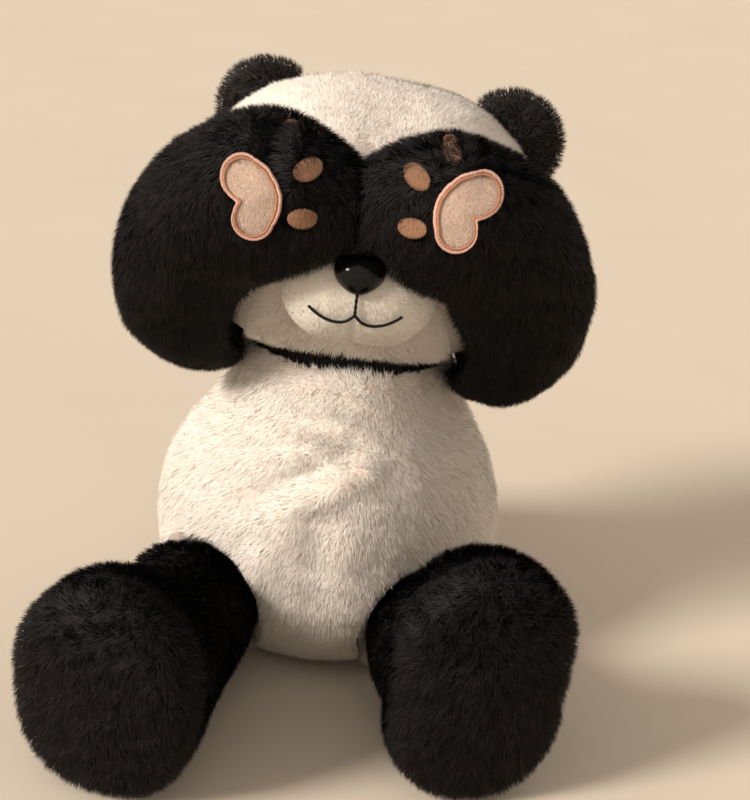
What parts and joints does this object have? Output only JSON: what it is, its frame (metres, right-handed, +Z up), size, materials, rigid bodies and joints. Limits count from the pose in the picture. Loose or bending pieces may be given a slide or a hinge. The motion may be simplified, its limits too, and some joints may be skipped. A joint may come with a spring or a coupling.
{
  "type": "plush panda",
  "caption": "Seated plush panda toy that hides its eyes behind raised paws held by magnets; arms swing open, head nods and legs swing.",
  "frame": {"origin": "middle of the flat seat panel, where the toy rests", "axes": "+Z up, -Y the way the toy faces, +X to the toy's own left"},
  "size_m": [0.227, 0.2871, 0.2758],
  "materials": {
    "white_plush": "matte",
    "black_plush": "matte",
    "cream_velour": "matte",
    "beige_velour": "matte",
    "salmon_thread": "matte",
    "brown_thread": "matte",
    "black_thread": "matte",
    "black_gloss_plastic": "gloss",
    "polyester_fibre": "matte",
    "pouch_cotton": "matte",
    "pellets": "matte",
    "washer_plastic": "matte",
    "magnet_steel": "satin"
  },
  "bodies": {
    "torso": {"belly_panel": "white_plush", "back_panel": "white_plush", "seat_panel": "white_plush", "shoulder_yoke": "black_plush", "tail": "white_plush", "torso_stuffing": "polyester_fibre", "pellet_pouch": "pouch_cotton", "pellet_fill": "pellets"},
    "head": {"face_panel": "white_plush", "head_back_panel": "white_plush", "head_stuffing": "polyester_fibre", "left_ear": "black_plush", "right_ear": "black_plush", "left_eye_patch": "black_plush", "right_eye_patch": "black_plush", "left_eye": "black_gloss_plastic", "right_eye": "black_gloss_plastic", "eye_washers": "washer_plastic", "face_magnets": "magnet_steel", "muzzle_cover": "cream_velour", "muzzle_stuffing": "polyester_fibre", "nose": "black_gloss_plastic", "nose_washer": "washer_plastic", "mouth_stitching": "black_thread"},
    "left_arm": {"left_arm_palm": "black_plush", "left_arm_back": "black_plush", "left_arm_stuffing": "polyester_fibre", "left_paw_pad": "beige_velour", "left_pad_border": "salmon_thread", "left_toe_pads": "brown_thread", "left_paw_magnet": "magnet_steel"},
    "right_arm": {"right_arm_palm": "black_plush", "right_arm_back": "black_plush", "right_arm_stuffing": "polyester_fibre", "right_paw_pad": "beige_velour", "right_pad_border": "salmon_thread", "right_toe_pads": "brown_thread", "right_paw_magnet": "magnet_steel"},
    "left_leg": {"left_leg_cover": "black_plush", "left_sole_panel": "black_plush", "left_leg_stuffing": "polyester_fibre"},
    "right_leg": {"right_leg_cover": "black_plush", "right_sole_panel": "black_plush", "right_leg_stuffing": "polyester_fibre"}
  },
  "joints": [
    {"name": "neck_nod", "type": "hinge", "parent": "torso", "child": "head", "pos_m": [0, 0, 0.136], "axis": [1, 0, 0], "range_deg": [-8, 10]},
    {"name": "left_arm_open", "type": "hinge", "parent": "head", "child": "left_arm", "pos_m": [0.06, 0.018, 0.156], "axis": [0, 0, 1], "range_deg": [0, 75]},
    {"name": "right_arm_open", "type": "hinge", "parent": "head", "child": "right_arm", "pos_m": [-0.06, 0.018, 0.156], "axis": [0, 0, -1], "range_deg": [0, 75]},
    {"name": "left_leg_swing", "type": "hinge", "parent": "torso", "child": "left_leg", "pos_m": [0.046, -0.034, 0.026], "axis": [0, 0, 1], "range_deg": [-5, 10]},
    {"name": "right_leg_swing", "type": "hinge", "parent": "torso", "child": "right_leg", "pos_m": [-0.053, -0.05, 0.028], "axis": [0, 0, -1], "range_deg": [-5, 10]}
  ]
}
